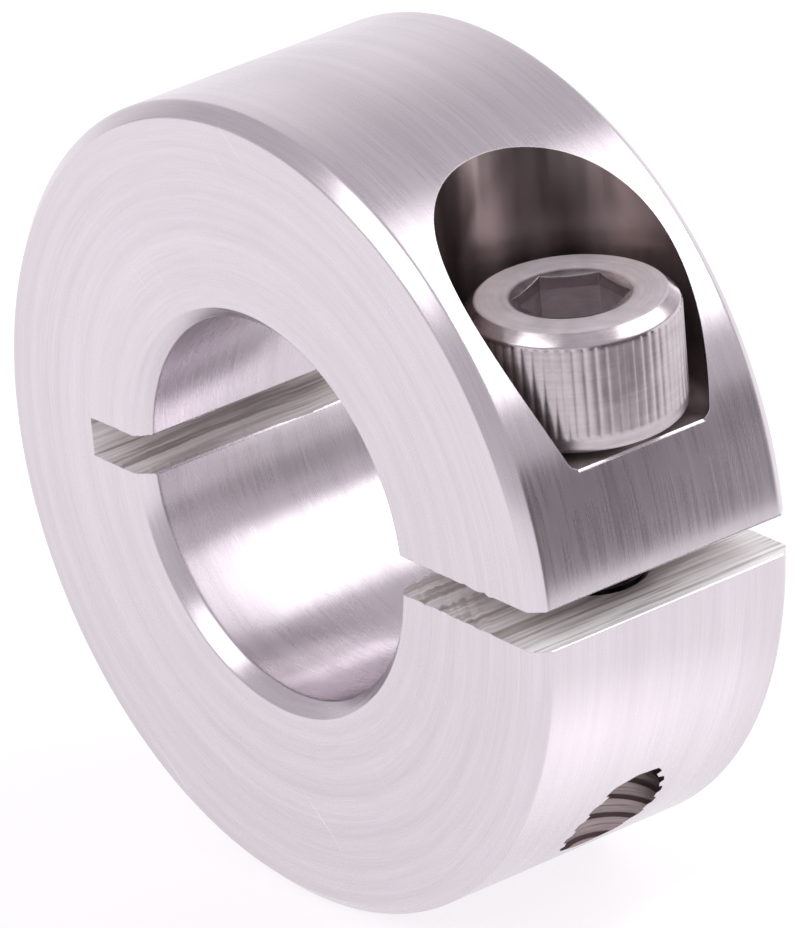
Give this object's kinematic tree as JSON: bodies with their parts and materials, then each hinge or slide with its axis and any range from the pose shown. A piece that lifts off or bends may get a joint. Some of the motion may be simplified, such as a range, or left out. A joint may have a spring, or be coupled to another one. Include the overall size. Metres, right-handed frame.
{
  "type": "shaft collar",
  "caption": "One-piece clamp collar: a slit aluminium ring with a relief slot behind the bore and a socket head cap screw in a counterbore.",
  "frame": {"origin": "middle of the bore, on its axis, halfway across the ring's width", "axes": "+Y along the bore, away from the front face; +Z along the clamp screw towards its head; +X from the bore towards the slit"},
  "size_m": [0.034, 0.013, 0.034],
  "materials": {
    "ring": "satin, fine turned",
    "screw": "bright stainless, knurled head"
  },
  "bodies": {
    "upper_half": {"upper_ring_half": "ring"},
    "lower_half": {"lower_ring_half": "ring"},
    "clamp_screw": {"clamp_screw": "screw"}
  },
  "joints": [
    {"name": "clamp_close", "type": "hinge", "parent": "upper_half", "child": "lower_half", "pos_m": [-0.01415, 0, 0], "axis": [0, -1, 0], "range_deg": [0, 0.73]},
    {"name": "screw_turn", "type": "hinge", "parent": "upper_half", "child": "clamp_screw", "pos_m": [0.01235, 0, 0], "axis": [0, 0, -1], "range_deg": [0, 150]}
  ],
  "couplings": [
    {"joint": "clamp_close", "follows": "screw_turn", "ratio": 0.0048046}
  ]
}
